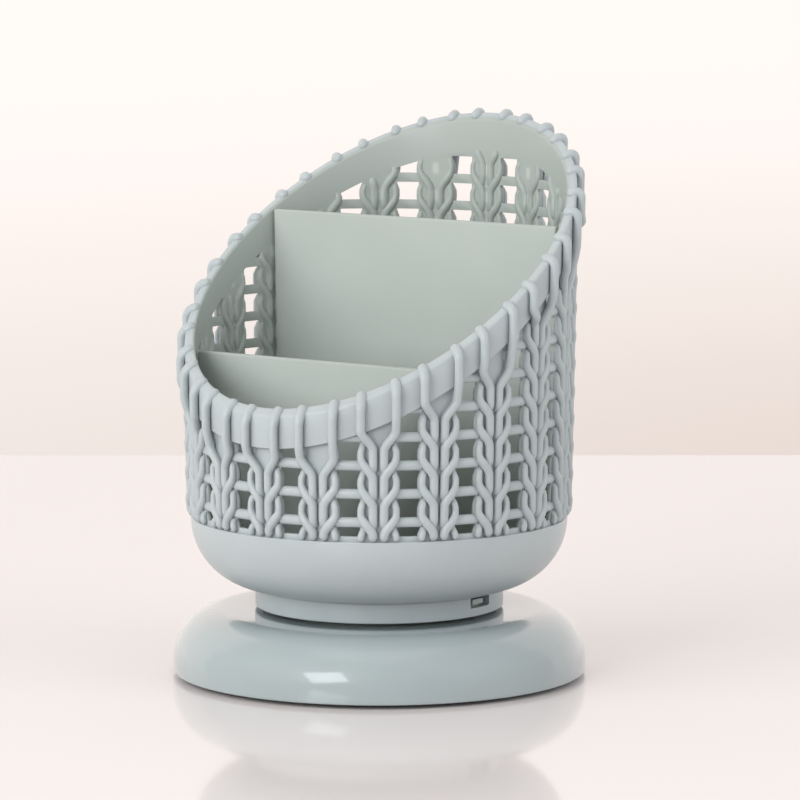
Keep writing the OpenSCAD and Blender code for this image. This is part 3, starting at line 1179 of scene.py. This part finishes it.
def backdrop_paint(graph, place):
    """Backdrop that glows with painted light, with a painted shade that darkens it towards its foot, more
    to the right.
    """
    x, y, height = graph.split(place)
    drift = noise(graph, place, 1.5, 1.0)
    rise = graph.ease(height, -0.20, 0.08)
    sideways = graph.ease(x * right.x + y * right.y, -0.35, 0.35)
    foot = graph.blend(sideways, colour(0.91, 0.875, 0.855), colour(0.865, 0.815, 0.785))
    return {
        "Base Color": graph.blend(drift, colour(0.5, 0.48, 0.47), colour(0.48, 0.46, 0.45)),
        "Emission Color": graph.blend(rise, foot, colour(1.0, 0.97, 0.955)),
        "Roughness": 0.8 + (drift - 0.5) * 0.1,
    }


table_finish = material("pale_table", {"IOR": 1.45}, table_paint)
# The backdrop glows: painted light, not a lamp
wall_finish = material("pale_backdrop", {"Emission Strength": 0.83}, backdrop_paint)
table_edge = away * TABLE_BEHIND - up * TABLE_DROP
flat_sheet(
    "table_top",
    [
        table_edge - right * 3 - away * 4,
        table_edge + right * 3 - away * 4,
        table_edge + right * 3,
        table_edge - right * 3,
    ],
    table_finish,
)
backdrop_foot = away * 1.6 - up * 1.0
flat_sheet(
    "backdrop",
    [
        backdrop_foot - right * 4,
        backdrop_foot + right * 4,
        backdrop_foot + right * 4 + up * 4,
        backdrop_foot - right * 4 + up * 4,
    ],
    wall_finish,
)


def soft_light(name, turn, lift, distance, size, power, tint=(1, 1, 1), roll=0.0):
    """Square soft light that faces the object, turn degrees to the right of the camera."""
    lamp = bpy.data.lights.new(name, "AREA")
    lamp.shape = "SQUARE"
    lamp.size = size
    lamp.energy = power
    lamp.color = tint
    obj = bpy.data.objects.new(name, lamp)
    bpy.context.scene.collection.objects.link(obj)
    sideways = math.radians(turn)
    raised = math.radians(lift)
    level = right * math.sin(sideways) - away * math.cos(sideways)
    direction = level * math.cos(raised) + up * math.sin(raised)
    obj.location = direction * distance + up * LIGHT_AIM
    facing = direction.to_track_quat("Z", "Y") @ Quaternion((0, 0, 1), math.radians(roll))
    obj.rotation_euler = facing.to_euler()
    return obj


key = soft_light(
    "key_light", turn=-56, lift=20, distance=2.0, size=2.0, power=36, tint=(1.0, 0.985, 0.97)
)
key.visible_glossy = False
soft_light(
    "small_light",
    turn=-30,
    lift=18,
    distance=1.6,
    size=0.6,
    power=4.6,
    tint=(0.96, 0.98, 1.0),
    roll=20,
)
fill = soft_light(
    "fill_light", turn=62, lift=22, distance=1.8, size=1.2, power=12, tint=(0.97, 0.98, 1.0)
)
fill.visible_glossy = False
soft_light("top_light", turn=-20, lift=80, distance=1.6, size=1.2, power=1.5)

world = bpy.data.worlds.new("studio")
world.use_nodes = True
world.node_tree.nodes["Background"].inputs["Color"].default_value = colour(0.98, 0.96, 0.95)
world.node_tree.nodes["Background"].inputs["Strength"].default_value = 0.65
bpy.context.scene.world = world
bpy.context.scene.view_settings.view_transform = "Standard"

camera_data = bpy.data.cameras.new("camera")
camera_data.sensor_width = SENSOR_WIDTH
camera_data.lens = LENS
camera_data.clip_end = 20.0
camera = bpy.data.objects.new("camera", camera_data)
bpy.context.scene.collection.objects.link(camera)
camera.location = -away * VIEW_AWAY + up * VIEW_HEIGHT
forward = (right * math.sin(VIEW_YAW) + away * math.cos(VIEW_YAW)) * math.cos(VIEW_PITCH)
forward -= up * math.sin(VIEW_PITCH)
camera.rotation_euler = (-forward).to_track_quat("Z", "Y").to_euler()
bpy.context.scene.camera = camera
